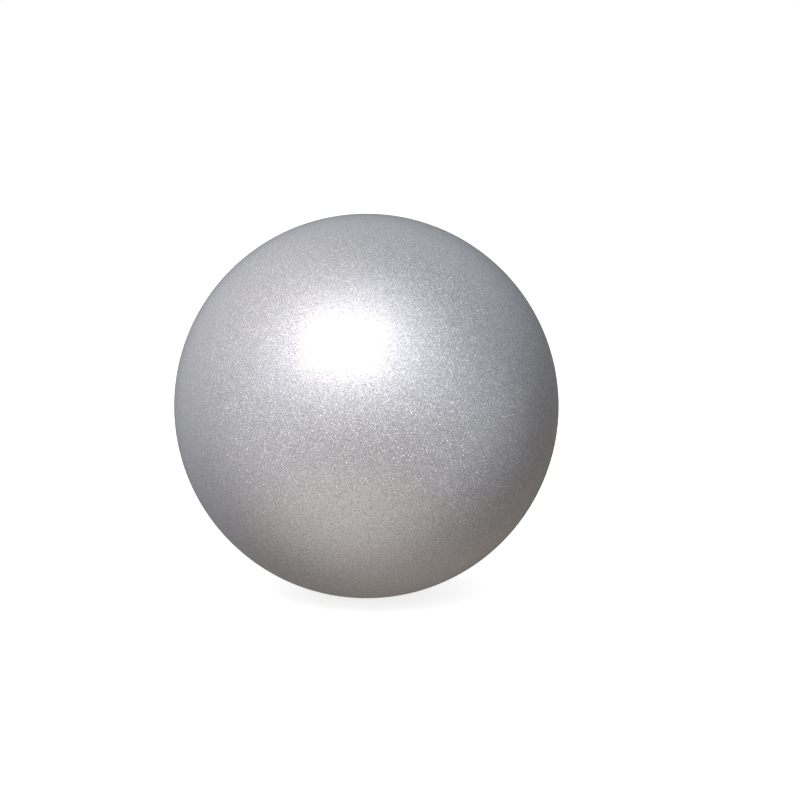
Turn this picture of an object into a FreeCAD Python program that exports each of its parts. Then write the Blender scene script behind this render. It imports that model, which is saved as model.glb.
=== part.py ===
"""Inflatable hand-size exercise ball: a two-layer moulded wall, a moulded-in valve seat and its plug.

Frame: origin at the ball's centre, +Z up, valve axis along +Y. Lengths are in millimetres.
Every piece is a body of revolution about the valve axis, so each sketch lies in the XY plane, with
X as the distance from the valve axis and Y as the height along it.
"""

import FreeCAD, Part
import math
import os

import Sketcher

SHEET = "Sizes"
ROOT_POINT = -1  # Sketcher's index of the sketch origin, and of the X axis that starts there
VERTICAL_AXIS = -2
START, END, CENTRE = 1, 2, 3
CLOSE = 1e-4  # mm, for picking an edge by its place

DRIVING_SIZES = [
    ("ball_dia", 185.0, "outer diameter of the inflated ball"),
    ("coat_wall", 0.5, "clear outer coat with the flakes in it"),
    ("body_wall", 2.8, "soft PVC wall under the coat"),
    ("face_sink", 0.4, "seat's flat face below the ball's pole"),
    ("mouth_dia", 13.0, "seat's barrel, which shows in the ball's surface"),
    ("mouth_groove", 0.2, "gap between the coat's rim and the seat"),
    ("rim_round", 0.22, "rounded rim of the coat round the seat"),
    ("seat_length", 14.0, "seat from its face to its inner end"),
    ("flange_dia", 24.0, "anchor flange moulded into the wall"),
    ("flange_thick", 1.2, "thickness of the anchor flange"),
    ("flange_depth", 2.2, "anchor flange's outer side below the seat's face"),
    ("anchor_hole_dia", 2.0, "holes in the flange that the wall fills"),
    ("anchor_count", 8.0, "number of those holes"),
    ("barrel_end_dia", 10.4, "seat's barrel at its inner end"),
    ("recess_dia", 10.0, "recess for the plug's head"),
    ("recess_depth", 1.5, "depth of that recess"),
    ("bore_dia", 5.5, "air hole through the seat"),
    ("bore_lead", 0.4, "chamfer at both ends of the air hole"),
    ("boss_dia", 27.0, "flat end of the wall's boss round the seat"),
    ("boss_height", 3.7, "boss's flat end below the wall's inner side, on the axis"),
    ("boss_foot_dia", 40.0, "where the boss meets the wall's inner side"),
    ("boss_round", 2.0, "rounding at the boss's end"),
    ("boss_foot_round", 6.0, "rounding at the boss's foot"),
    ("head_dia", 9.4, "plug's head"),
    ("head_thick", 1.1, "plug's head at its rim"),
    ("head_crown", 0.25, "rise of the head's domed top"),
    ("head_round", 0.3, "rounding of the head's rim"),
    ("head_gap", 0.02, "plug's head above the recess's floor"),
    ("stem_dia", 4.6, "plug's stem between its rings"),
    ("stem_length", 14.6, "stem from the head to its tip"),
    ("tip_dia", 3.0, "plug's tip"),
    ("tip_length", 3.4, "tapered stretch of the stem"),
    ("tip_round", 0.7, "rounding of the tip"),
    ("ring_gap", 0.05, "air between a sealing ring and the air hole"),
    ("ring_wide", 1.5, "sealing ring at its foot"),
    ("ring_crest", 0.5, "sealing ring's flat crest"),
    ("ring_first", 2.2, "first ring's middle below the head"),
    ("ring_pitch", 2.9, "from one ring to the next"),
    ("ring_count", 3.0, "number of sealing rings"),
    ("core_dia", 1.8, "blind hole up the stem from its tip"),
    ("core_depth", 9.0, "depth of that hole"),
    ("dimple_dia", 1.6, "dimple in the middle of the head"),
    ("dimple_depth", 0.25, "depth of that dimple"),
]

DERIVED_SIZES = [
    ("outer_rad", "=ball_dia / 2", "coat's outer side"),
    ("wall_rad", "=outer_rad - coat_wall", "between coat and wall"),
    ("air_rad", "=wall_rad - body_wall", "wall's inner side"),
    ("mouth_rad", "=mouth_dia / 2", "seat's barrel"),
    ("rim_rad", "=mouth_rad + mouth_groove", "coat's rim"),
    ("face_level", "=outer_rad - face_sink", "seat's face"),
    ("seat_end_level", "=face_level - seat_length", "seat's inner end"),
    ("flange_top", "=face_level - flange_depth", "anchor flange's outer side"),
    ("flange_foot", "=flange_top - flange_thick", "anchor flange's inner side"),
    ("anchor_ring_rad", "=(mouth_rad + flange_dia / 2) / 2", "circle of anchor holes"),
    ("boss_level", "=air_rad - boss_height", "boss's flat end"),
    ("recess_level", "=face_level - recess_depth", "recess's floor"),
    ("head_level", "=recess_level + head_gap", "underside of the plug's head"),
    ("head_rim_level", "=head_level + head_thick", "rim of the head's domed top"),
    ("head_top_level", "=head_rim_level + head_crown", "middle of the head's domed top"),
    ("tip_level", "=head_level - stem_length", "plug's tip"),
    ("taper_level", "=tip_level + tip_length", "where the stem starts to taper"),
    ("ring_rad", "=bore_dia / 2 - ring_gap", "crest of a sealing ring"),
    ("first_ring_level", "=head_level - ring_first", "middle of the first ring"),
]


def make_sheet(doc):
    """Spreadsheet of the sizes, each cell with its alias and a note beside it."""
    sheet = doc.addObject("Spreadsheet::Sheet", SHEET)
    for row, (alias, content, note) in enumerate(DRIVING_SIZES + DERIVED_SIZES, start=1):
        sheet.set(f"A{row}", alias)
        sheet.set(f"B{row}", str(content))
        sheet.set(f"C{row}", note)
        sheet.setAlias(f"B{row}", alias)
    doc.recompute()
    return sheet


def value(doc, expression):
    """An expression on the sheet's aliases as a number, for a sketch's first guess."""
    return float(doc.getObject(SHEET).evalExpression(expression))


def named(expression, doc):
    """The expression with each alias written as Sizes.alias, as an object outside the sheet needs."""
    aliases = [alias for alias, _, _ in DRIVING_SIZES + DERIVED_SIZES]
    words, word = [], ""
    for letter in expression + " ":
        if letter.isalnum() or letter == "_":
            word += letter
            continue
        words.append(f"{SHEET}.{word}" if word in aliases else word)
        words.append(letter)
        word = ""
    return "".join(words).strip()


def plane_of(body, role):
    """One of the body's own origin planes or axes, by its role."""
    return next(part for part in body.Origin.OriginFeatures if part.Role == role)


def new_sketch(body, name, role="XY_Plane"):
    """Sketch of the body on one of its origin planes."""
    sketch = body.newObject("Sketcher::SketchObject", name)
    sketch.AttachmentSupport = [(plane_of(body, role), "")]
    sketch.MapMode = "FlatFace"
    return sketch


class Profile:
    """Closed outline in the XY plane, whose corners are (distance from axis, height) expressions.

    A corner with no height lies on the arc that it starts or ends, and one with distance "0" on
    the valve axis. Arcs are about the ball's centre, apart from the ones that dome() makes.
    """

    def __init__(self, body, name):
        self.doc = body.Document
        self.sketch = new_sketch(body, name)
        self.edges = []

    def bind(self, kind, label, expression, *where):
        """Adds a constraint whose size follows an expression on the sheet."""
        size = value(self.doc, expression)
        if kind == "Radius":
            constraint = Sketcher.Constraint(kind, *where, size)
        else:
            constraint = Sketcher.Constraint(kind, ROOT_POINT, START, *where, size)
        index = self.sketch.addConstraint(constraint)
        self.sketch.renameConstraint(index, label)
        self.sketch.setExpression(f"Constraints.{label}", named(expression, self.doc))

    def place(self, label, edge, end, distance, height):
        """Fixes one end of an edge at a distance from the axis and, where given, at a height."""
        if distance == "0":
            self.sketch.addConstraint(Sketcher.Constraint("PointOnObject", edge, end, VERTICAL_AXIS))
        elif distance:
            self.bind("DistanceX", f"{label}_across", distance, edge, end)
        if height:
            self.bind("DistanceY", f"{label}_up", height, edge, end)

    def line(self, start, end):
        """Straight edge between two corners, each a pair of expressions."""
        points = [FreeCAD.Vector(value(self.doc, x), value(self.doc, y), 0) for x, y in (start, end)]
        self.edges.append(self.sketch.addGeometry(Part.LineSegment(*points)))
        return self.edges[-1]

    def sphere_arc(self, label, radius, start_angle, end_angle):
        """Arc about the ball's centre, from a start to an end angle in radians, anticlockwise."""
        circle = Part.Circle(FreeCAD.Vector(), FreeCAD.Vector(0, 0, 1), value(self.doc, radius))
        arc = self.sketch.addGeometry(Part.ArcOfCircle(circle, start_angle, end_angle))
        self.sketch.addConstraint(Sketcher.Constraint("Coincident", arc, CENTRE, ROOT_POINT, START))
        self.bind("Radius", f"{label}_radius", radius, arc)
        self.edges.append(arc)
        return arc

    def join(self, *ends):
        """Joins ends of edges in pairs: (edge, end, edge, end)."""
        for first, first_end, second, second_end in ends:
            self.sketch.addConstraint(
                Sketcher.Constraint("Coincident", first, first_end, second, second_end)
            )

    def chain(self, corners, names):
        """Straight edges through corners in order, each inner corner joined and placed by its name."""
        lines = [self.line(a, b) for a, b in zip(corners, corners[1:])]
        for name, corner, before, after in zip(names, corners[1:-1], lines, lines[1:]):
            self.join((before, END, after, START))
            self.place(name, before, END, *corner)
        return lines


def revolve(body, sketch, name):
    """Full turn of a sketch about the valve axis, added to the body."""
    turn = body.newObject("PartDesign::Revolution", name)
    turn.Profile = sketch
    turn.ReferenceAxis = (sketch, ["V_Axis"])
    turn.Angle = 360
    turn.Midplane = False
    sketch.Visibility = False
    body.Document.recompute()
    return turn


def angle_at(doc, distance, radius):
    """Angle of the point on a circle about the ball's centre at that distance from the axis."""
    return math.acos(value(doc, distance) / value(doc, radius))


def ring_edges(feature, distance, height):
    """Names of the feature's circular edges about the valve axis with that radius and height."""
    found = []
    for index, edge in enumerate(feature.Shape.Edges, start=1):
        if edge.Degenerated or not isinstance(edge.Curve, Part.Circle):
            continue
        curve = edge.Curve
        on_axis = math.hypot(curve.Center.x, curve.Center.z) < CLOSE
        here = abs(curve.Radius - distance) < CLOSE and abs(curve.Center.y - height) < CLOSE
        if on_axis and here:
            found.append(f"Edge{index}")
    if not found:
        raise RuntimeError(f"{feature.Label} has no ring edge of radius {distance} at {height}")
    return found


def dress(body, kind, name, rings, size):
    """Fillet or chamfer on the ring edges at (distance, height) expressions."""
    doc, base = body.Document, body.Tip
    edges = [e for ring in rings for e in ring_edges(base, value(doc, ring[0]), value(doc, ring[1]))]
    feature = body.newObject(f"PartDesign::{kind}", name)
    feature.Base = (base, edges)
    feature.setExpression("Radius" if kind == "Fillet" else "Size", named(size, doc))
    body.Tip = feature
    doc.recompute()
    return feature


def height_on(radius, distance):
    """Expression for the height at which a circle about the ball's centre has that distance."""
    return f"sqrt(({radius})^2 - ({distance})^2)"


def make_coat(doc):
    """Outer coat: a thin sphere, open round the valve seat, with a rounded rim."""
    body = doc.addObject("PartDesign::Body", "flake_coat")
    profile = Profile(body, "coat_profile")
    outer = profile.sphere_arc("outer", "outer_rad", -math.pi / 2, angle_at(doc, "rim_rad", "outer_rad"))
    rim = profile.line(
        ("rim_rad", height_on("outer_rad", "rim_rad")), ("rim_rad", height_on("wall_rad", "rim_rad"))
    )
    inner = profile.sphere_arc("inner", "wall_rad", -math.pi / 2, angle_at(doc, "rim_rad", "wall_rad"))
    pole = profile.line(("0", "-wall_rad"), ("0", "-outer_rad"))
    profile.join((outer, END, rim, START), (rim, END, inner, END))
    profile.join((inner, START, pole, START), (pole, END, outer, START))
    profile.place("rim", outer, END, "rim_rad", None)
    profile.sketch.addConstraint(Sketcher.Constraint("Vertical", rim))
    profile.place("inner_pole", inner, START, "0", None)
    profile.place("outer_pole", outer, START, "0", None)
    revolve(body, profile.sketch, "coat_turn")
    dress(body, "Fillet", "coat_rim_round", [("rim_rad", height_on("outer_rad", "rim_rad"))], "rim_round")
    return body


def make_wall(doc):
    """Soft PVC wall: a hollow sphere with a boss inside that holds the seat's barrel and flange."""
    body = doc.addObject("PartDesign::Body", "ball_wall")
    profile = Profile(body, "wall_profile")
    outer = profile.sphere_arc("outer", "wall_rad", -math.pi / 2, angle_at(doc, "mouth_rad", "wall_rad"))
    flange_rad, boss_rad, foot_rad = "flange_dia / 2", "boss_dia / 2", "boss_foot_dia / 2"
    lines = profile.chain(
        [
            ("mouth_rad", height_on("wall_rad", "mouth_rad")),
            ("mouth_rad", "flange_top"),
            (flange_rad, "flange_top"),
            (flange_rad, "flange_foot"),
            ("mouth_rad", "flange_foot"),
            ("mouth_rad", "boss_level"),
            (boss_rad, "boss_level"),
            (foot_rad, height_on("air_rad", foot_rad)),
        ],
        ["flange_root", "flange_edge", "flange_under", "flange_back", "boss_bore", "boss_edge"],
    )
    inner = profile.sphere_arc("inner", "air_rad", -math.pi / 2, angle_at(doc, foot_rad, "air_rad"))
    pole = profile.line(("0", "-air_rad"), ("0", "-wall_rad"))
    profile.join((outer, END, lines[0], START), (lines[-1], END, inner, END))
    profile.join((inner, START, pole, START), (pole, END, outer, START))
    profile.place("mouth", outer, END, "mouth_rad", None)
    profile.place("boss_foot", inner, END, foot_rad, None)
    profile.place("inner_pole", inner, START, "0", None)
    profile.place("outer_pole", outer, START, "0", None)
    revolve(body, profile.sketch, "wall_turn")
    add_anchor_pins(body)
    dress(body, "Fillet", "boss_end_round", [(boss_rad, "boss_level")], "boss_round")
    dress(body, "Fillet", "boss_foot_blend", [(foot_rad, height_on("air_rad", foot_rad))], "boss_foot_round")
    return body


def anchor_sketch(body, name):
    """Circle of one anchor hole on a plane across the valve axis, at the flange's inner side."""
    doc = body.Document
    sketch = new_sketch(body, name, "XZ_Plane")
    circle = Part.Circle(
        FreeCAD.Vector(value(doc, "anchor_ring_rad"), 0, 0),
        FreeCAD.Vector(0, 0, 1),
        value(doc, "anchor_hole_dia / 2"),
    )
    ring = sketch.addGeometry(circle)
    across = Sketcher.Constraint(
        "DistanceX", ROOT_POINT, START, ring, CENTRE, value(doc, "anchor_ring_rad")
    )
    sketch.renameConstraint(sketch.addConstraint(across), "ring_across")
    sketch.addConstraint(Sketcher.Constraint("PointOnObject", ring, CENTRE, ROOT_POINT))
    round_hole = Sketcher.Constraint("Radius", ring, value(doc, "anchor_hole_dia / 2"))
    sketch.renameConstraint(sketch.addConstraint(round_hole), "hole_radius")
    sketch.setExpression("Constraints.ring_across", f"{SHEET}.anchor_ring_rad")
    sketch.setExpression("Constraints.hole_radius", f"{SHEET}.anchor_hole_dia / 2")
    # The XZ plane's normal points along -Y, so a height along the valve axis is a negative offset.
    sketch.setExpression("AttachmentOffset.Base.z", f"-{SHEET}.flange_foot")
    return sketch


def ring_of(body, feature, name):
    """Repeats a feature round the valve axis, once for each anchor hole."""
    pattern = body.newObject("PartDesign::PolarPattern", name)
    pattern.Originals = [feature]
    pattern.Axis = (plane_of(body, "Y_Axis"), [""])
    pattern.Angle = 360
    pattern.setExpression("Occurrences", f"{SHEET}.anchor_count")
    body.Tip = pattern
    body.Document.recompute()
    return pattern


def add_anchor_pins(body):
    """Stubs of the wall that fill the flange's anchor holes."""
    pin = body.newObject("PartDesign::Pad", "anchor_pin")
    pin.Profile = anchor_sketch(body, "anchor_pin_circle")
    pin.setExpression("Length", f"{SHEET}.flange_thick")
    pin.Reversed = True
    body.Document.recompute()
    ring_of(body, pin, "anchor_pins")


def make_seat(doc):
    """Valve seat: a moulded-in sleeve with an anchor flange, a head recess and the air hole."""
    body = doc.addObject("PartDesign::Body", "valve_seat")
    profile = Profile(body, "seat_profile")
    flange_rad, recess_rad, bore_rad = "flange_dia / 2", "recess_dia / 2", "bore_dia / 2"
    corners = [
        (recess_rad, "face_level"),
        ("mouth_rad", "face_level"),
        ("mouth_rad", "flange_top"),
        (flange_rad, "flange_top"),
        (flange_rad, "flange_foot"),
        ("mouth_rad", "flange_foot"),
        ("mouth_rad", "boss_level"),
        ("barrel_end_dia / 2", "seat_end_level"),
        (bore_rad, "seat_end_level"),
        (bore_rad, "recess_level"),
        (recess_rad, "recess_level"),
        (recess_rad, "face_level"),
    ]
    names = [
        "mouth",
        "flange_root",
        "flange_edge",
        "flange_under",
        "flange_back",
        "barrel",
        "barrel_end",
        "bore_end",
        "bore_top",
        "recess_floor",
    ]
    lines = profile.chain(corners, names)
    profile.join((lines[-1], END, lines[0], START))
    profile.place("recess", lines[0], START, *corners[0])
    revolve(body, profile.sketch, "seat_turn")
    hole = body.newObject("PartDesign::Pocket", "anchor_hole")
    hole.Profile = anchor_sketch(body, "anchor_hole_circle")
    hole.setExpression("Length", f"{SHEET}.flange_thick")
    hole.Reversed = False
    doc.recompute()
    ring_of(body, hole, "anchor_holes")
    dress(body, "Chamfer", "bore_leads", [(bore_rad, "recess_level"), (bore_rad, "seat_end_level")], "bore_lead")
    dress(
        body, "Fillet", "mouth_rounds", [(recess_rad, "face_level"), ("mouth_rad", "face_level")], "rim_round"
    )
    return body


def make_plug(doc):
    """Plug: a domed head, a tapered stem with sealing rings, a blind core hole and a dimple."""
    body = doc.addObject("PartDesign::Body", "valve_plug")
    profile = Profile(body, "plug_profile")
    head_rad, stem_rad, core_rad = "head_dia / 2", "stem_dia / 2", "core_dia / 2"
    lines = profile.chain(
        [
            (head_rad, "head_rim_level"),
            (head_rad, "head_level"),
            (stem_rad, "head_level"),
            (stem_rad, "taper_level"),
            ("tip_dia / 2", "tip_level"),
            (core_rad, "tip_level"),
            (core_rad, "tip_level + core_depth"),
            ("0", "tip_level + core_depth"),
            ("0", "head_top_level"),
        ],
        ["head_under", "stem_root", "taper", "tip", "core_mouth", "core_end", "core_axis"],
    )
    crown = add_crown(profile, head_rad)
    profile.join((lines[-1], END, crown, END), (crown, START, lines[0], START))
    profile.place("head_rim", lines[0], START, head_rad, "head_rim_level")
    profile.place("head_top", lines[-1], END, "0", "head_top_level")
    revolve(body, profile.sketch, "plug_turn")
    add_sealing_rings(body)
    add_dimple(body)
    dress(body, "Fillet", "head_rim_round", [(head_rad, "head_rim_level")], "head_round")
    dress(body, "Fillet", "tip_end_round", [("tip_dia / 2", "tip_level")], "tip_round / 2")
    return body


def add_crown(profile, head_rad):
    """Shallow arc of the head's domed top, with its centre on the valve axis."""
    doc, sketch = profile.doc, profile.sketch
    reach, rise = value(doc, head_rad), value(doc, "head_crown")
    radius = (reach**2 + rise**2) / (2 * rise)
    centre = FreeCAD.Vector(0, value(doc, "head_top_level") - radius, 0)
    circle = Part.Circle(centre, FreeCAD.Vector(0, 0, 1), radius)
    arc = sketch.addGeometry(Part.ArcOfCircle(circle, math.acos(reach / radius), math.pi / 2))
    sketch.addConstraint(Sketcher.Constraint("PointOnObject", arc, CENTRE, VERTICAL_AXIS))
    return arc


def add_sealing_rings(body):
    """Sealing rings on the stem: one trapezium turned about the axis, repeated down the stem."""
    doc = body.Document
    profile = Profile(body, "ring_profile")
    foot_half, crest_half = "ring_wide / 2", "ring_crest / 2"
    buried = "stem_dia / 2 - ring_gap"
    corners = [
        (buried, f"first_ring_level + {foot_half}"),
        ("ring_rad", f"first_ring_level + {crest_half}"),
        ("ring_rad", f"first_ring_level - {crest_half}"),
        (buried, f"first_ring_level - {foot_half}"),
        (buried, f"first_ring_level + {foot_half}"),
    ]
    lines = profile.chain(corners, ["crest_top", "crest_foot", "foot_below"])
    profile.join((lines[-1], END, lines[0], START))
    profile.place("foot_above", lines[0], START, *corners[0])
    ring = revolve(body, profile.sketch, "sealing_ring")
    pattern = body.newObject("PartDesign::LinearPattern", "sealing_rings")
    pattern.Originals = [ring]
    pattern.Direction = (plane_of(body, "Y_Axis"), [""])
    pattern.Reversed = True
    pattern.setExpression("Occurrences", f"{SHEET}.ring_count")
    pattern.setExpression("Length", f"{SHEET}.ring_pitch * ({SHEET}.ring_count - 1)")
    body.Tip = pattern
    doc.recompute()


def add_dimple(body):
    """Small round dimple in the middle of the plug's head."""
    doc = body.Document
    profile = Profile(body, "dimple_profile")
    dimple_rad, floor, above = "dimple_dia / 2", "head_top_level - dimple_depth", "head_top_level + 1"
    corners = [
        ("0", floor),
        (f"{dimple_rad} * 0.6", floor),
        (dimple_rad, "head_top_level"),
        (dimple_rad, above),
        ("0", above),
        ("0", floor),
    ]
    lines = profile.chain(corners, ["floor", "rim", "top", "top_axis"])
    profile.join((lines[-1], END, lines[0], START))
    profile.place("floor_axis", lines[0], START, *corners[0])
    groove = body.newObject("PartDesign::Groove", "head_dimple")
    groove.Profile = profile.sketch
    groove.ReferenceAxis = (profile.sketch, ["V_Axis"])
    groove.Angle = 360
    body.Tip = groove
    doc.recompute()


def check(doc, bodies):
    """Stops if an object of the document failed, or a body has no valid single solid."""
    failed = [o.Label for o in doc.Objects if {"Invalid", "Error"} & set(o.State)]
    if failed:
        raise RuntimeError(f"failed objects: {failed}")
    for body in bodies:
        shape = body.Shape
        if shape.isNull() or not shape.isValid() or len(shape.Solids) != 1:
            raise RuntimeError(f"{body.Label} isn't one valid solid")
        print(f"{body.Label}: {shape.Volume:.1f} mm3, lowest {shape.BoundBox.YMin:.2f}")


def main():
    """Builds the document and writes one STEP file for each piece."""
    doc = FreeCAD.newDocument("exercise_ball")
    make_sheet(doc)
    bodies = [make_coat(doc), make_wall(doc), make_seat(doc), make_plug(doc)]
    doc.recompute()
    check(doc, bodies)
    os.makedirs("parts", exist_ok=True)
    for body in bodies:
        body.Shape.exportStep(os.path.join("parts", f"{body.Label}.step"))


main()
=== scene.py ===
"""Looks of an inflatable glitter exercise ball, built round its fixed model frame.

Lengths are in metres, in the frame's own axes: origin at the ball's centre, +Z up, valve axis along
+Y. The ball is a flake-filled glossy coat over a soft wall, with a valve seat moulded into it and a
plug that pulls out of the seat.
"""

import logging
import math
from dataclasses import dataclass, field
from enum import Enum
from typing import Any, Callable, Sequence

import bpy
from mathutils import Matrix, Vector

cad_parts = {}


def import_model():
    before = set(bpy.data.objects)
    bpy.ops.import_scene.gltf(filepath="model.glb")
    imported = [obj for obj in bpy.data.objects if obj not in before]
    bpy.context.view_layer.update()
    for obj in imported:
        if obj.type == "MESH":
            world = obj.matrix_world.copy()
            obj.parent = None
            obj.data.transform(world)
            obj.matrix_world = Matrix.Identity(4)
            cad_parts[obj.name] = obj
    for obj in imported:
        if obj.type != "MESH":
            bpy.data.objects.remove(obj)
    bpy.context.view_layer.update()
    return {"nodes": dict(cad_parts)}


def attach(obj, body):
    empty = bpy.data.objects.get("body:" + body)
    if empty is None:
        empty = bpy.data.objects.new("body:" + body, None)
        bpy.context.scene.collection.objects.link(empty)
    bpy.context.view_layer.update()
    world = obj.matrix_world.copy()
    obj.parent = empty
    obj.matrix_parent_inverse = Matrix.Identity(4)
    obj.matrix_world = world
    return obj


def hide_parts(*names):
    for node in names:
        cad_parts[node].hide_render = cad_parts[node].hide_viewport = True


LOG = logging.getLogger("exercise_ball")
MM = 0.001
Colour = tuple[float, float, float]
Outline = Sequence[tuple[float, float]]

# Middle of a noise or a random draw, which both run from 0 to 1.
MIDDLE = 0.5

# How near two places have to be to count as one, when parts are picked and when points are merged.
NEAR = 0.01 * MM
MERGE_GAP = 0.002 * MM

# Softening of a turned piece's edges, and the sharpest fold that still shades smooth.
BEVEL_STEPS = 3
BEVEL_ANGLE = math.radians(28)
TURNED_SMOOTH_ANGLE = math.radians(40)
COAT_SMOOTH_ANGLE = math.radians(50)

# A Mix node's colour sockets share their names with others, so they are found by number.
MIX_FIRST, MIX_SECOND, MIX_RESULT = 6, 7, 2


# ---------------------------------------------------------------------------------------------
# Shader graphs


class Wire:
    """An output socket in a shader graph that adds nodes when it is used in an expression."""

    def __init__(self, graph: "Graph", socket: bpy.types.NodeSocket) -> None:
        """Keeps the graph and the output socket that the wire starts from."""
        self.graph = graph
        self.socket = socket

    @property
    def is_value(self) -> bool:
        """Whether the socket carries one number, and not a vector or colour."""
        return self.socket.type == "VALUE"

    def _combine(self, operation: str, other: "Wire | float | Colour", swapped: bool = False) -> "Wire":
        """Adds the node for one operator.

        Args:
            operation: Name that Math and Vector Math share for the operation.
            other: The other operand.
            swapped: Whether the other operand comes first.

        Returns:
            The node's output.
        """
        first, second = (other, self) if swapped else (self, other)
        other_is_value = other.is_value if isinstance(other, Wire) else isinstance(other, (int, float))
        if self.is_value and other_is_value:
            return self.graph.numbers(operation, first, second)
        pair = [(part,) * 3 if isinstance(part, (int, float)) else part for part in (first, second)]
        return self.graph.vectors(operation, *pair)

    def __add__(self, other: "Wire | float | Colour") -> "Wire":
        """Sum."""
        return self._combine("ADD", other)

    def __radd__(self, other: "float | Colour") -> "Wire":
        """Sum with the wire second."""
        return self._combine("ADD", other, swapped=True)

    def __sub__(self, other: "Wire | float | Colour") -> "Wire":
        """Difference."""
        return self._combine("SUBTRACT", other)

    def __rsub__(self, other: "float | Colour") -> "Wire":
        """Difference with the wire second."""
        return self._combine("SUBTRACT", other, swapped=True)

    def __mul__(self, other: "Wire | float | Colour") -> "Wire":
        """Product."""
        return self._combine("MULTIPLY", other)

    def __rmul__(self, other: "float | Colour") -> "Wire":
        """Product with the wire second."""
        return self._combine("MULTIPLY", other, swapped=True)

    def __pow__(self, other: "Wire | float") -> "Wire":
        """Power of a number."""
        return self.graph.numbers("POWER", self, other)

    def __rpow__(self, other: float) -> "Wire":
        """Power of a number with the wire second."""
        return self.graph.numbers("POWER", other, self)

    def __gt__(self, other: "Wire | float") -> "Wire":
        """1 where the wire is greater, and 0 elsewhere."""
        return self.graph.numbers("GREATER_THAN", self, other)

    def __lt__(self, other: "Wire | float") -> "Wire":
        """1 where the wire is less, and 0 elsewhere."""
        return self.graph.numbers("LESS_THAN", self, other)


class Graph:
    """The node tree of one material or of the surroundings, built by calls and by expressions on wires."""

    def __init__(self, owner: bpy.types.Material | bpy.types.World) -> None:
        """Empties the owner's node tree.

        Args:
            owner: Material or world that the nodes are for.
        """
        self.owner = owner
        owner.use_nodes = True
        self.tree = owner.node_tree
        self.tree.nodes.clear()

    def node(
        self,
        kind: str,
        settings: dict[str, Any] | None = None,
        inputs: dict[str | int, Any] | None = None,
        output: str | int | None = 0,
    ) -> Wire | None:
        """Adds one node.

        Args:
            kind: The node's type.
            settings: Properties of the node, set first.
            inputs: Values or wires of its input sockets, by name or number.
            output: Name or number of the output socket that is wanted, or None for an end node.

        Returns:
            The wire from that output.
        """
        made = self.tree.nodes.new(kind)
        for key, content in (settings or {}).items():
            setattr(made, key, content)
        for key, content in (inputs or {}).items():
            self._feed(made.inputs[key], content)
        return None if output is None else Wire(self, made.outputs[output])

    def _feed(self, socket: bpy.types.NodeSocket, content: "Wire | float | Sequence[float]") -> None:
        """Links a wire to an input socket, or sets the socket's own value.

        Args:
            socket: Input socket.
            content: A wire, a number, or three numbers.
        """
        if isinstance(content, Wire):
            self.tree.links.new(content.socket, socket)
        elif socket.type == "RGBA":
            socket.default_value = (*content, 1.0)
        else:
            socket.default_value = content

    def numbers(self, operation: str, *operands: Wire | float) -> Wire:
        """Result of one Math operation on its operands."""
        return self.node("ShaderNodeMath", {"operation": operation}, dict(enumerate(operands)))

    def vectors(self, operation: str, *operands: Wire | Colour, output: str | int = 0) -> Wire:
        """Result of one Vector Math operation on its operands, from the output that is named."""
        return self.node("ShaderNodeVectorMath", {"operation": operation}, dict(enumerate(operands)), output)

    def place(self) -> Wire:
        """Object coordinates, in metres from the ball's centre."""
        return self.node("ShaderNodeTexCoord", output="Object")

    def noise(self, place: Wire, size: float, detail: float = 3.0, roughness: float = 0.5) -> Wire:
        """Soft noise between 0 and 1, in blots of roughly the given size, with finer octaves in them."""
        inputs = {"Vector": place, "Scale": 1.0 / size, "Detail": detail, "Roughness": roughness}
        return self.node("ShaderNodeTexNoise", {"noise_dimensions": "3D"}, inputs, "Fac")

    def mix(self, share: Wire | float, first: Wire | Colour, second: Wire | Colour) -> Wire:
        """Mix of two colours, where share is the second one's part."""
        inputs = {"Factor": share, MIX_FIRST: first, MIX_SECOND: second}
        return self.node("ShaderNodeMix", {"data_type": "RGBA"}, inputs, MIX_RESULT)

    def spread(self, value: Wire, low: float, high: float, to_low: float = 0.0, to_high: float = 1.0) -> Wire:
        """Value mapped from one range to another, smoothly and without passing the second one's ends."""
        inputs = {"Value": value, "From Min": low, "From Max": high, "To Min": to_low, "To Max": to_high}
        return self.node("ShaderNodeMapRange", {"interpolation_type": "SMOOTHSTEP"}, inputs)

    def bump(self, height: Wire, distance: float) -> Wire:
        """Normal disturbed by a height between 0 and 1, where 1 stands for the distance in metres."""
        return self.node("ShaderNodeBump", None, {"Strength": 1.0, "Distance": distance, "Height": height})

    def principled(self, inputs: dict[str, Any]) -> bpy.types.Material:
        """Closes the graph with one Principled shader.

        Args:
            inputs: Values or wires of the shader's sockets.

        Returns:
            The finished material.
        """
        shader = self.node("ShaderNodeBsdfPrincipled", None, inputs)
        self.node("ShaderNodeOutputMaterial", None, {"Surface": shader}, None)
        return self.owner


# ---------------------------------------------------------------------------------------------
# Finishes


@dataclass(frozen=True)
class Flake:
    """One kind of flake in the glitter: how far it leans, how softly it mirrors and how common it is.

    The kind without a share of its own takes what the other kinds leave.
    """

    lean: float
    gloss: float
    share: float = 0.0


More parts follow.
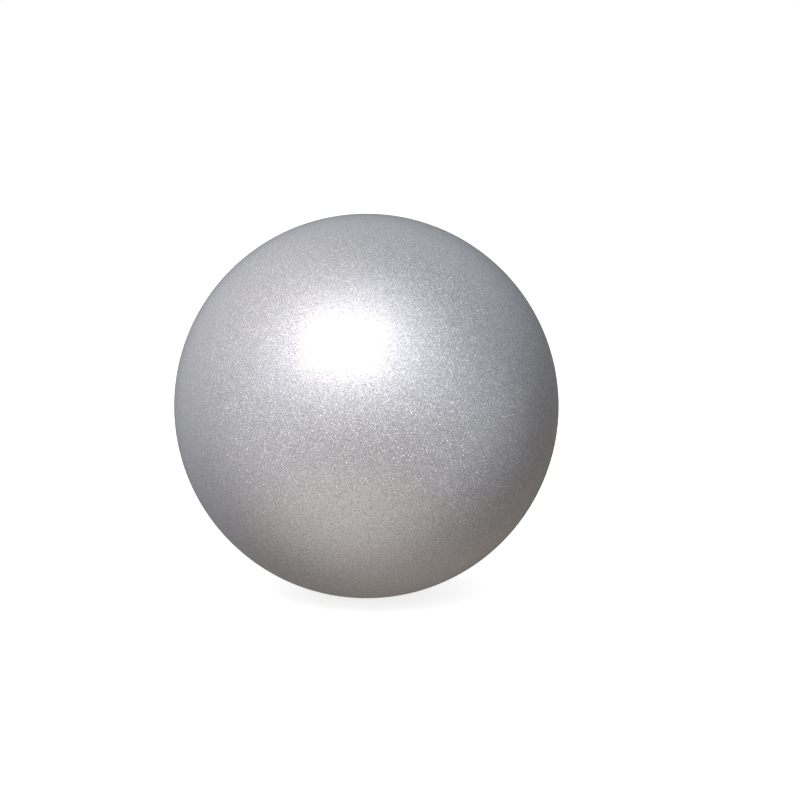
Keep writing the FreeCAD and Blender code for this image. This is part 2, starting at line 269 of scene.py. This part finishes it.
@dataclass(frozen=True)
class GlitterFinish:
    """Clear glossy vinyl packed with fine silver flakes, each lying at its own tilt.

    Some flakes lean a little and mirror softly, some lie flat just under the surface, and some stand
    up and catch a light that the others miss.
    """

    name: str = "glitter_coat"
    silver: Colour = (0.444, 0.434, 0.436)
    flake_size: float = 0.22 * MM
    settled: Flake = Flake(lean=0.12, gloss=0.40)
    flat: Flake = Flake(lean=0.03, gloss=0.30, share=0.30)
    wild: Flake = Flake(lean=0.62, gloss=0.35, share=0.42)
    kind_key: Colour = (17.3, 31.7, 7.1)
    shade_key: Colour = (5.9, 13.1, 23.7)
    shade_spread: float = 0.60
    hue_share: float = 0.03
    cloud_size: float = 22 * MM
    cloud_detail: float = 4.0
    cloud_roughness: float = 0.6
    cloud_depth: float = 0.035
    metal: float = 0.92
    binder_gloss: float = 0.17
    binder_index: float = 1.85

    def draw(self, graph: Graph, flakes: Wire, key: Colour) -> Wire:
        """One more random number for each flake, stirred from its random colour."""
        return graph.numbers("FRACT", graph.vectors("DOT_PRODUCT", flakes, key, output="Value"))

    def material(self) -> bpy.types.Material:
        """Builds the material.

        Returns:
            The glitter material.
        """
        graph = Graph(bpy.data.materials.new(self.name))
        place = graph.place()
        cells = {"Vector": place, "Scale": 1.0 / self.flake_size, "Randomness": 1.0}
        flakes = graph.node("ShaderNodeTexVoronoi", {"feature": "F1"}, cells, "Color")
        kind = self.draw(graph, flakes, self.kind_key)
        shade = self.draw(graph, flakes, self.shade_key)

        is_flat = kind > 1.0 - self.flat.share
        is_wild = kind < self.wild.share
        lean = self.settled.lean + is_flat * (self.flat.lean - self.settled.lean)
        lean = lean + is_wild * (self.wild.lean - self.settled.lean)
        gloss = self.settled.gloss + is_flat * (self.flat.gloss - self.settled.gloss)
        gloss = gloss + is_wild * (self.wild.gloss - self.settled.gloss)
        normal = graph.node("ShaderNodeNewGeometry", output="Normal")
        sway = {0: flakes - MIDDLE, "Scale": lean * 2.0}
        leaning = graph.node("ShaderNodeVectorMath", {"operation": "SCALE"}, sway)
        tilted = graph.vectors("NORMALIZE", normal + leaning)

        cloud = graph.noise(place, self.cloud_size, self.cloud_detail, self.cloud_roughness)
        level = 1.0 + (shade - MIDDLE) * self.shade_spread + (cloud - MIDDLE) * (2 * self.cloud_depth)
        tint = graph.mix(self.hue_share, self.silver, flakes)
        return graph.principled(
            {
                "Base Color": tint * level,
                "Metallic": self.metal,
                "Roughness": gloss,
                "Normal": tilted,
                "Coat Weight": 1.0,
                "Coat Roughness": self.binder_gloss,
                "Coat IOR": self.binder_index,
            }
        )


@dataclass(frozen=True)
class MouldedFinish:
    """Soft or hard plastic straight from the mould: faint mottling, fine grain, and painted shade as a darker
    ring in the corner round the valve.
    """

    name: str
    colour: Colour
    shadow: Colour
    roughness: float
    index: float = 1.5
    grain: float = 0.25 * MM
    grain_detail: float = 2.0
    grain_depth: float = 0.006 * MM
    grain_gloss: float = 0.1
    mottle: float = 4.0 * MM
    mottle_detail: float = 5.0
    mottle_roughness: float = 0.6
    mottle_range: tuple[float, float] = (0.3, 0.75)
    mottle_gloss: float = 0.18
    ring_pitch: float = 0.0
    ring_height: float = 0.5
    # Painted shade: a patchy darker ring at a set distance from the valve axis, where a corner lies in shade.
    corner_shade_radius: float = 0.0
    corner_shade_width: float = 0.5 * MM
    corner_shade_share: float = 0.55
    corner_shade_range: tuple[float, float] = (0.2, 0.7)
    corner_shade_least: float = 0.5
    corner_shade_level: float = 0.35

    def material(self) -> bpy.types.Material:
        """Builds the material.

        Returns:
            The moulded plastic.
        """
        graph = Graph(bpy.data.materials.new(self.name))
        place = graph.place()
        blots = graph.noise(place, self.mottle, self.mottle_detail, self.mottle_roughness)
        specks = graph.noise(place, self.grain, self.grain_detail)
        colour = graph.mix(graph.spread(blots, *self.mottle_range), self.colour, self.shadow)
        across, up = (graph.node("ShaderNodeSeparateXYZ", None, {0: place}, axis) for axis in "XZ")
        reach = graph.numbers("SQRT", across * across + up * up)
        height = specks
        if self.ring_pitch:
            wave = graph.numbers("SINE", reach * (2 * math.pi / self.ring_pitch))
            height = specks + (wave * MIDDLE + MIDDLE) * self.ring_height
        # Painted shade: the colour is pulled towards a fraction of the shadow colour in a ring round the
        # valve axis, patchy with the mottling.
        if self.corner_shade_radius:
            off = graph.numbers("ABSOLUTE", reach - self.corner_shade_radius)
            ring = graph.spread(off, 0.0, self.corner_shade_width, self.corner_shade_share, 0.0)
            corner_shade = ring * graph.spread(blots, *self.corner_shade_range, self.corner_shade_least, 1.0)
            colour = graph.mix(corner_shade, colour, tuple(self.corner_shade_level * part for part in self.shadow))
        roughness = self.roughness + (blots - MIDDLE) * self.mottle_gloss
        roughness = roughness + (specks - MIDDLE) * self.grain_gloss
        return graph.principled(
            {
                "Base Color": colour,
                "Roughness": roughness,
                "Normal": graph.bump(height, self.grain_depth),
                "IOR": self.index,
            }
        )


@dataclass(frozen=True)
class FloorFinish:
    """Matt white table top, lit a little from within so that shadows on it stay faint."""

    name: str = "studio_floor"
    colour: Colour = (0.80, 0.80, 0.80)
    roughness: float = 0.9
    grain: float = 0.3
    grain_detail: float = 2.0
    grain_range: tuple[float, float] = (0.3, 0.7)
    grain_shade: float = 0.98
    lamp: Colour = (1.0, 1.0, 1.0)
    glow: float = 0.65

    def material(self) -> bpy.types.Material:
        """Builds the material.

        Returns:
            The floor's material.
        """
        graph = Graph(bpy.data.materials.new(self.name))
        blots = graph.noise(graph.place(), self.grain, self.grain_detail)
        grain = graph.spread(blots, *self.grain_range, self.grain_shade, 1.0)
        return graph.principled(
            {
                "Base Color": grain * self.colour,
                "Roughness": self.roughness,
                "Specular IOR Level": 0.0,
                "Emission Color": self.lamp,
                "Emission Strength": self.glow,
            }
        )


# ---------------------------------------------------------------------------------------------
# Modelling by operators


class Pick(Enum):
    """Which parts of a mesh a selection is made of."""

    EDGES = "edges"
    FACES = "polygons"


def deselect_all() -> None:
    """Deselects every object, so that the next operator acts on its own piece alone."""
    for thing in bpy.context.selected_objects:
        thing.select_set(False)
    bpy.context.view_layer.objects.active = None


def select_parts(piece: bpy.types.Object, pick: Pick, test: Callable[[Vector], bool]) -> None:
    """Selects the edges or faces whose middle passes a test, and leaves the piece in edit mode.

    Args:
        piece: Active object.
        pick: Kind of part.
        test: Says whether a part with this middle is selected.
    """
    bpy.ops.object.mode_set(mode="OBJECT")
    mesh = piece.data
    for group in (mesh.vertices, mesh.edges, mesh.polygons):
        group.foreach_set("select", [False] * len(group))
    for part in getattr(mesh, pick.value):
        if pick is Pick.EDGES:
            middle = sum((mesh.vertices[i].co for i in part.vertices), Vector()) / 2
        else:
            middle = part.center
        part.select = test(middle)
    bpy.context.tool_settings.mesh_select_mode = (False, pick is Pick.EDGES, pick is Pick.FACES)
    bpy.ops.object.mode_set(mode="EDIT")


def apply_modifier(piece: bpy.types.Object, kind: str, **settings: Any) -> None:
    """Adds a modifier, sets it and applies it.

    Args:
        piece: Active object, in object mode.
        kind: The modifier's type.
        **settings: Its properties.
    """
    modifier = piece.modifiers.new(kind.lower(), kind)
    for key, content in settings.items():
        setattr(modifier, key, content)
    bpy.ops.object.modifier_apply(modifier=modifier.name)


def from_axis(point: Vector) -> float:
    """Distance of a point from the valve axis."""
    return math.hypot(point.x, point.z)


def turned(name: str, outline: Outline, steps: int, bevel: float) -> bpy.types.Object:
    """Turns an outline about the valve axis into one closed piece with softened edges.

    Args:
        name: The piece's name.
        outline: Points of (distance from the axis, height along it), from one end of the axis or
            back to the first point.
        steps: Number of facets round the axis.
        bevel: Width of the softened edges.

    Returns:
        The piece, at the origin.
    """
    deselect_all()
    bpy.context.tool_settings.mesh_select_mode = (True, False, False)
    bpy.ops.mesh.primitive_plane_add(size=MM)
    piece = bpy.context.object
    piece.name = piece.data.name = name
    bpy.ops.object.mode_set(mode="EDIT")
    bpy.ops.mesh.select_all(action="SELECT")
    bpy.ops.mesh.merge(type="CENTER")
    here = Vector((outline[0][0], outline[0][1], 0.0))
    bpy.ops.transform.translate(value=here)
    for distance, height in outline[1:]:
        there = Vector((distance, height, 0.0))
        bpy.ops.mesh.extrude_vertices_move(TRANSFORM_OT_translate={"value": there - here})
        here = there
    bpy.ops.mesh.select_all(action="SELECT")
    bpy.ops.mesh.spin(steps=steps, angle=2 * math.pi, center=(0, 0, 0), axis=(0, 1, 0))
    bpy.ops.mesh.select_all(action="SELECT")
    bpy.ops.mesh.remove_doubles(threshold=MERGE_GAP)
    bpy.ops.mesh.normals_make_consistent(inside=False)
    bpy.ops.object.mode_set(mode="OBJECT")
    apply_modifier(
        piece,
        "BEVEL",
        width=bevel,
        segments=BEVEL_STEPS,
        limit_method="ANGLE",
        angle_limit=BEVEL_ANGLE,
        use_clamp_overlap=True,
    )
    bpy.ops.object.shade_smooth_by_angle(angle=TURNED_SMOOTH_ANGLE)
    return piece


def closed_up(piece: bpy.types.Object) -> bool:
    """Tests that a piece has no hole and no stray face.

    Args:
        piece: Mesh object.

    Returns:
        Whether every edge has exactly two faces.
    """
    count = [0] * len(piece.data.edges)
    for face in piece.data.polygons:
        for loop in face.loop_indices:
            count[piece.data.loops[loop].edge_index] += 1
    return all(number == 2 for number in count)


def report(piece: bpy.types.Object) -> None:
    """Logs a piece's size and whether it is closed."""
    triangles = sum(len(face.vertices) - 2 for face in piece.data.polygons)
    LOG.info("%s: %d triangles, %s", piece.name, triangles, "closed" if closed_up(piece) else "open")


# ---------------------------------------------------------------------------------------------
# The ball's sub-assemblies


@dataclass
class GlitterCoat:
    """The coat: a thin sphere, open round the valve seat, with a rolled lip and a moulder's unevenness."""

    radius: float = 92.5 * MM
    wall: float = 0.5 * MM
    mouth_radius: float = 6.7 * MM
    lip_round: float = 0.2 * MM
    lip_steps: int = 4
    lip_reach: float = 0.1 * MM
    cells: int = 80
    patch_cells: int = 16
    patch_rings: int = 6
    mouth_lift: float = 1.15
    ripple: float = 0.05 * MM
    ripple_size: float = 9 * MM
    ripple_octaves: int = 2
    finish: GlitterFinish = field(default_factory=GlitterFinish)
    piece: bpy.types.Object | None = None

    def build(self) -> None:
        """Models the coat from a finely divided cube, whose top has a round opening bridged into it."""
        deselect_all()
        bpy.ops.mesh.primitive_cube_add(size=2 * self.radius)
        piece = bpy.context.object
        piece.name = piece.data.name = "glitter_coat"
        bpy.ops.object.mode_set(mode="EDIT")
        bpy.ops.mesh.select_all(action="SELECT")
        bpy.ops.mesh.subdivide(number_cuts=self.cells - 1)
        self._open_mouth(piece)
        self._round_off(piece)
        self._ripple(piece)
        self._thicken(piece)
        self._roll_lip(piece)
        bpy.ops.object.shade_smooth_by_angle(angle=COAT_SMOOTH_ANGLE)
        self.piece = piece

    def _open_mouth(self, piece: bpy.types.Object) -> None:
        """Cuts a square patch out of the cube's +Y face and bridges its edge to a circle.

        Args:
            piece: The divided cube, in edit mode.
        """
        half = self.radius * self.patch_cells / self.cells
        inside = half - NEAR

        def in_patch(middle: Vector) -> bool:
            """Whether a face's middle is on the +Y face and in the patch."""
            on_top = middle.y > self.radius - NEAR
            return on_top and max(abs(middle.x), abs(middle.z)) < inside

        select_parts(piece, Pick.FACES, in_patch)
        bpy.ops.mesh.delete(type="FACE")
        top = self.radius * self.mouth_lift
        reach = top * math.tan(math.asin(self.mouth_radius / self.radius))
        bpy.ops.mesh.primitive_circle_add(
            vertices=4 * self.patch_cells,
            radius=reach,
            location=(0, top, 0),
            rotation=(math.pi / 2, 0, 0),
        )

        def on_edges(middle: Vector) -> bool:
            """Tests whether an edge belongs to one of the two loops.

            Args:
                middle: The edge's middle.

            Returns:
                Whether it is on the circle or on the patch's border.
            """
            on_circle = abs(middle.y - top) < NEAR
            off_border = abs(max(abs(middle.x), abs(middle.z)) - half)
            return on_circle or (abs(middle.y - self.radius) < NEAR and off_border < NEAR)

        select_parts(piece, Pick.EDGES, on_edges)
        bpy.ops.mesh.bridge_edge_loops(number_cuts=self.patch_rings, interpolation="LINEAR")
        bpy.ops.mesh.select_all(action="SELECT")
        bpy.ops.mesh.normals_make_consistent(inside=False)
        bpy.ops.object.mode_set(mode="OBJECT")

    def _round_off(self, piece: bpy.types.Object) -> None:
        """Casts the open cube onto the sphere.

        Args:
            piece: The open cube, in object mode.
        """
        apply_modifier(
            piece,
            "CAST",
            factor=1.0,
            cast_type="SPHERE",
            radius=0.0,
            size=self.radius,
            use_radius_as_size=False,
        )

    def _ripple(self, piece: bpy.types.Object) -> None:
        """Sinks the surface by a few hundredths of a millimetre, unevenly, as soft vinyl sets.

        Args:
            piece: The open sphere, in object mode.
        """
        texture = bpy.data.textures.new("coat_ripple", "CLOUDS")
        texture.noise_scale = self.ripple_size
        texture.noise_depth = self.ripple_octaves
        apply_modifier(
            piece,
            "DISPLACE",
            texture=texture,
            texture_coords="LOCAL",
            strength=self.ripple,
            mid_level=1.0,
        )

    def _thicken(self, piece: bpy.types.Object) -> None:
        """Gives the surface its wall, inwards.

        Args:
            piece: The open sphere, in object mode.
        """
        apply_modifier(
            piece,
            "SOLIDIFY",
            thickness=self.wall,
            offset=-1.0,
            use_rim=True,
            use_even_offset=True,
        )

    def _roll_lip(self, piece: bpy.types.Object) -> None:
        """Rounds the outer edge of the opening.

        Args:
            piece: The hollow coat, in object mode.
        """
        reach = self.mouth_radius + self.lip_reach
        outer = math.sqrt((self.radius - self.wall / 2) ** 2 - self.mouth_radius**2)
        select_parts(piece, Pick.EDGES, lambda middle: from_axis(middle) < reach and middle.y > outer)
        bpy.ops.mesh.bevel(offset=self.lip_round, segments=self.lip_steps, affect="EDGES")
        bpy.ops.object.mode_set(mode="OBJECT")

    def dress(self) -> None:
        """Gives the coat its finish and its place on the ball."""
        self.piece.data.materials.append(self.finish.material())
        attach(self.piece, "ball")
        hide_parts("flake_coat")


@dataclass
class BallWall:
    """The soft wall under the coat, which shows only in the groove and down the open air hole."""

    node: bpy.types.Object
    finish: MouldedFinish = MouldedFinish(
        name="soft_pvc",
        colour=(0.36, 0.36, 0.38),
        shadow=(0.27, 0.27, 0.29),
        roughness=0.5,
        mottle=6.0 * MM,
        grain_depth=0.01 * MM,
    )

    def dress(self) -> None:
        """Gives the wall its finish."""
        self.node.data.materials.clear()
        self.node.data.materials.append(self.finish.material())


@dataclass
class ValveSeat:
    """The seat: a flanged sleeve with a recess for the plug's head and the air hole."""

    face: float = 92.1 * MM
    radius: float = 6.5 * MM
    recess_radius: float = 5.0 * MM
    recess_depth: float = 1.5 * MM
    bore_radius: float = 2.75 * MM
    bore_lead: float = 0.4 * MM
    length: float = 14.0 * MM
    flange_radius: float = 12.0 * MM
    flange_depth: float = 2.2 * MM
    flange_thick: float = 1.2 * MM
    barrel_depth: float = 6.6 * MM
    end_radius: float = 5.2 * MM
    witness_radius: float = 5.75 * MM
    witness_width: float = 0.22 * MM
    witness_depth: float = 0.1 * MM
    witness_floor: float = 0.4
    steps: int = 96
    edge: float = 0.14 * MM
    finish: MouldedFinish = MouldedFinish(
        name="seat_pvc",
        colour=(0.60, 0.60, 0.615),
        shadow=(0.50, 0.50, 0.515),
        roughness=0.42,
        # Painted shade: a darker ring in the recess's corner, round the plug's head.
        corner_shade_radius=4.9 * MM,
        corner_shade_width=0.45 * MM,
    )
    piece: bpy.types.Object | None = None

    def outline(self) -> list[tuple[float, float]]:
        """Outline of the seat, from the recess's edge outwards and back.

        Returns:
            Closed list of (distance from the axis, height).
        """
        low = self.face - self.recess_depth
        end = self.face - self.length
        flange_top = self.face - self.flange_depth
        flange_foot = flange_top - self.flange_thick
        half = self.witness_width / 2
        floor = half * self.witness_floor
        return [
            (self.recess_radius, self.face),
            (self.witness_radius - half, self.face),
            (self.witness_radius - floor, self.face - self.witness_depth),
            (self.witness_radius + floor, self.face - self.witness_depth),
            (self.witness_radius + half, self.face),
            (self.radius, self.face),
            (self.radius, flange_top),
            (self.flange_radius, flange_top),
            (self.flange_radius, flange_foot),
            (self.radius, flange_foot),
            (self.radius, self.face - self.barrel_depth),
            (self.end_radius, end),
            (self.bore_radius + self.bore_lead, end),
            (self.bore_radius, end + self.bore_lead),
            (self.bore_radius, low - self.bore_lead),
            (self.bore_radius + self.bore_lead, low),
            (self.recess_radius, low),
            (self.recess_radius, self.face),
        ]

    def build(self) -> None:
        """Turns the seat from its outline."""
        self.piece = turned("valve_sleeve", self.outline(), self.steps, self.edge)

    def dress(self) -> None:
        """Gives the seat its finish and its place on the ball."""
        self.piece.data.materials.append(self.finish.material())
        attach(self.piece, "ball")
        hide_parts("valve_seat")


@dataclass
class ValvePlug:
    """The plug: a domed head with a dimple, and a tapered stem with sealing rings and a blind core."""

    head_under: float = 90.62 * MM
    head_radius: float = 4.7 * MM
    head_thick: float = 1.1 * MM
    crown: float = 0.25 * MM
    crown_steps: int = 7
    dimple_radius: float = 0.8 * MM
    dimple_floor: float = 0.44 * MM
    dimple_depth: float = 0.25 * MM
    stem_radius: float = 2.3 * MM
    stem_length: float = 14.6 * MM
    tip_radius: float = 1.5 * MM
    tip_length: float = 3.4 * MM
    ring_radius: float = 2.7 * MM
    ring_half: float = 0.75 * MM
    ring_first: float = 2.2 * MM
    ring_pitch: float = 2.9 * MM
    ring_count: int = 3
    ring_steps: int = 8
    core_radius: float = 0.9 * MM
    core_depth: float = 9.0 * MM
    steps: int = 96
    edge: float = 0.12 * MM
    finish: MouldedFinish = MouldedFinish(
        name="plug_plastic",
        colour=(0.66, 0.66, 0.65),
        shadow=(0.55, 0.55, 0.54),
        roughness=0.33,
        mottle=2.5 * MM,
        ring_pitch=0.55 * MM,
        # Painted shade: a darker ring at the head's rim, in the gap to the seat's recess.
        corner_shade_radius=4.75 * MM,
        corner_shade_width=0.35 * MM,
    )
    piece: bpy.types.Object | None = None

    def head_outline(self) -> list[tuple[float, float]]:
        """Domed top of the head.

        Returns:
            List of (distance from the axis, height), from the dimple's floor on the axis to the rim.
        """
        top = self.head_under + self.head_thick + self.crown
        points = [(0.0, top - self.dimple_depth), (self.dimple_floor, top - self.dimple_depth)]
        for step in range(self.crown_steps + 1):
            reach = self.dimple_radius + (self.head_radius - self.dimple_radius) * step / self.crown_steps
            points.append((reach, top - self.crown * (reach / self.head_radius) ** 2))
        return points

    def ring_outline(self, middle: float) -> list[tuple[float, float]]:
        """Rounded bulge of one sealing ring.

        Args:
            middle: Height of the ring's middle.

        Returns:
            List of (distance from the axis, height), from above the ring to below it.
        """
        points = []
        for step in range(self.ring_steps + 1):
            turn = math.pi * step / self.ring_steps
            rise = (self.ring_radius - self.stem_radius) * math.sin(turn)
            points.append((self.stem_radius + rise, middle + self.ring_half * math.cos(turn)))
        return points

    def outline(self) -> list[tuple[float, float]]:
        """Outline of the plug, from the dimple down to the core's blind end on the axis.

        Returns:
            List of (distance from the axis, height).
        """
        tip = self.head_under - self.stem_length
        points = self.head_outline()
        points += [(self.head_radius, self.head_under), (self.stem_radius, self.head_under)]
        for number in range(self.ring_count):
            points += self.ring_outline(self.head_under - self.ring_first - number * self.ring_pitch)
        points += [
            (self.stem_radius, tip + self.tip_length),
            (self.tip_radius, tip),
            (self.core_radius, tip),
            (self.core_radius, tip + self.core_depth),
            (0.0, tip + self.core_depth),
        ]
        return points

    def build(self) -> None:
        """Turns the plug from its outline."""
        self.piece = turned("plug_body", self.outline(), self.steps, self.edge)

    def dress(self) -> None:
        """Gives the plug its finish and its place on its own body."""
        self.piece.data.materials.append(self.finish.material())
        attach(self.piece, "plug")
        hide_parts("valve_plug")


# ---------------------------------------------------------------------------------------------
# The studio


class Tone(Enum):
    """Colour cast of a light, by where it comes from."""

    LAMP = (1.12, 1.0, 0.80)
    WALL = (1.04, 1.0, 0.97)
    WINDOW = (0.97, 1.0, 1.10)
    SKY = (0.92, 0.99, 1.11)
    TABLE = (1.12, 1.0, 0.89)


@dataclass(frozen=True)
class Panel:
    """One soft rectangular light that faces the ball."""

    name: str
    azimuth: float
    elevation: float
    distance: float
    width: float
    height: float
    radiance: float
    tone: Tone

    def build(self) -> None:
        """Makes the light, turned to the ball's centre."""
        lamp = bpy.data.lights.new(self.name, "AREA")
        lamp.shape = "RECTANGLE"
        lamp.size = self.width
        lamp.size_y = self.height
        lamp.color = self.tone.value
        lamp.energy = self.radiance * math.pi * self.width * self.height
        stand = bpy.data.objects.new(self.name, lamp)
        bpy.context.scene.collection.objects.link(stand)
        out = direction(self.azimuth, self.elevation)
        stand.location = out * self.distance
        stand.rotation_euler = out.to_track_quat("Z", "Y").to_euler()
        stand.visible_camera = False


@dataclass(frozen=True)
class Glow:
    """One broad soft patch of brightness in the surroundings, which the ball's gloss mirrors."""

    azimuth: float
    elevation: float
    strength: float
    tone: Tone = Tone.WALL


def direction(azimuth: float, elevation: float) -> Vector:
    """Unit vector to a place round the ball: azimuth in degrees from the front, elevation above level."""
    turn, rise = math.radians(azimuth), math.radians(elevation)
    return Vector((math.sin(turn) * math.cos(rise), -math.cos(turn) * math.cos(rise), math.sin(rise)))


@dataclass
class Studio:
    """White table, white surroundings with broad brighter and darker parts, and one softbox."""

    floor_level: float
    floor_size: float = 60.0
    backdrop: Colour = (1.0, 1.0, 1.0)
    fill: Colour = (0.80, 0.80, 0.80)
    glow_falloff: float = 4.0
    glows: tuple[Glow, ...] = (
        Glow(0, 45, 2.30, Tone.WINDOW),
        Glow(60, 0, 0.70, Tone.WINDOW),
        Glow(120, 45, 0.50, Tone.SKY),
        Glow(180, 45, 0.30, Tone.SKY),
        Glow(210, 20, 0.18, Tone.WINDOW),
        Glow(240, 45, 0.48),
        Glow(240, 0, 0.45, Tone.WINDOW),
        Glow(300, 45, 0.85, Tone.WINDOW),
        Glow(300, 0, 0.60, Tone.WINDOW),
        Glow(300, -45, 0.38),
        Glow(0, -45, 0.75),
        Glow(150, -45, 0.20, Tone.TABLE),
        Glow(0, -90, 0.20, Tone.TABLE),
    )
    key: Panel = Panel(
        name="key_softbox",
        azimuth=-17.0,
        elevation=44.1,
        distance=1.0,
        width=0.74,
        height=0.52,
        radiance=2.6,
        tone=Tone.LAMP,
    )

    def build(self) -> None:
        """Makes the floor, the surroundings and the key light."""
        deselect_all()
        bpy.ops.mesh.primitive_plane_add(size=self.floor_size, location=(0, 0, self.floor_level))
        floor = bpy.context.object
        floor.name = floor.data.name = "studio_floor"
        floor.data.materials.append(FloorFinish().material())
        floor.visible_glossy = False
        self._surround()
        self.key.build()

    def _surround(self) -> None:
        """Surroundings: plain white to the eye, even fill on matt surfaces, and the glows in gloss."""
        world = bpy.data.worlds.new("studio_surround")
        bpy.context.scene.world = world
        graph = Graph(world)
        towards = graph.node("ShaderNodeTexCoord", output="Generated")
        mirrored = None
        for glow in self.glows:
            aim = tuple(direction(glow.azimuth, glow.elevation))
            facing = graph.vectors("DOT_PRODUCT", towards, aim, output="Value")
            facing = graph.numbers("MAXIMUM", facing, 0.0)
            patch = (facing**self.glow_falloff * glow.strength) * glow.tone.value
            mirrored = patch if mirrored is None else mirrored + patch
        in_gloss = graph.node("ShaderNodeLightPath", output="Is Glossy Ray")
        seen = graph.node("ShaderNodeLightPath", output="Is Camera Ray")
        colour = graph.mix(seen, graph.mix(in_gloss, self.fill, mirrored), self.backdrop)
        light = graph.node("ShaderNodeBackground", None, {"Color": colour})
        graph.node("ShaderNodeOutputWorld", None, {"Surface": light}, None)
        world.cycles.sampling_method = "NONE"


@dataclass
class Camera:
    """Long lens a little above the ball's middle, aimed beside it."""

    lens: float = 100.0
    sensor: float = 36.0
    nearest: float = 0.05
    farthest: float = 100.0
    frame_share: float = 0.481
    elevation: float = 10.0
    aim_right: float = 16.1 * MM
    aim_up: float = 2.8 * MM

    def build(self, radius: float) -> None:
        """Makes the camera the scene's own.

        Args:
            radius: The ball's outer radius, in metres.
        """
        lens = bpy.data.cameras.new("studio_camera")
        lens.lens = self.lens
        lens.sensor_width = self.sensor
        lens.clip_start = self.nearest
        lens.clip_end = self.farthest
        camera = bpy.data.objects.new("studio_camera", lens)
        bpy.context.scene.collection.objects.link(camera)
        rise = math.radians(self.elevation)
        back = Vector((0.0, -math.cos(rise), math.sin(rise)))
        up = Vector((0.0, math.sin(rise), math.cos(rise)))
        half_view = self.sensor / 2 / self.lens
        distance = radius * math.hypot(1.0, 1.0 / (self.frame_share * half_view))
        camera.location = back * distance
        aim = Vector((1.0, 0.0, 0.0)) * self.aim_right + up * self.aim_up
        camera.rotation_euler = (camera.location - aim).to_track_quat("Z", "Y").to_euler()
        bpy.context.scene.camera = camera


def main() -> None:
    """Builds the ball's pieces round the frame, then the studio and the camera."""
    logging.basicConfig(level=logging.INFO, format="%(name)s: %(message)s")
    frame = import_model()
    coat = GlitterCoat()
    seat = ValveSeat()
    plug = ValvePlug()
    for part in (coat, seat, plug):
        part.build()
        part.dress()
        report(part.piece)
    wall = BallWall(frame["nodes"]["ball_wall"])
    wall.dress()
    LOG.info("%s: carried over, with a soft PVC finish", wall.node.name)
    Studio(floor_level=-coat.radius).build()
    LOG.info("studio: floor, surroundings and key light")
    Camera().build(coat.radius)
    LOG.info("camera: in place")
    scene = bpy.context.scene
    scene.view_settings.view_transform = "Standard"
    scene.view_settings.look = "None"


if __name__ == "__main__":
    main()
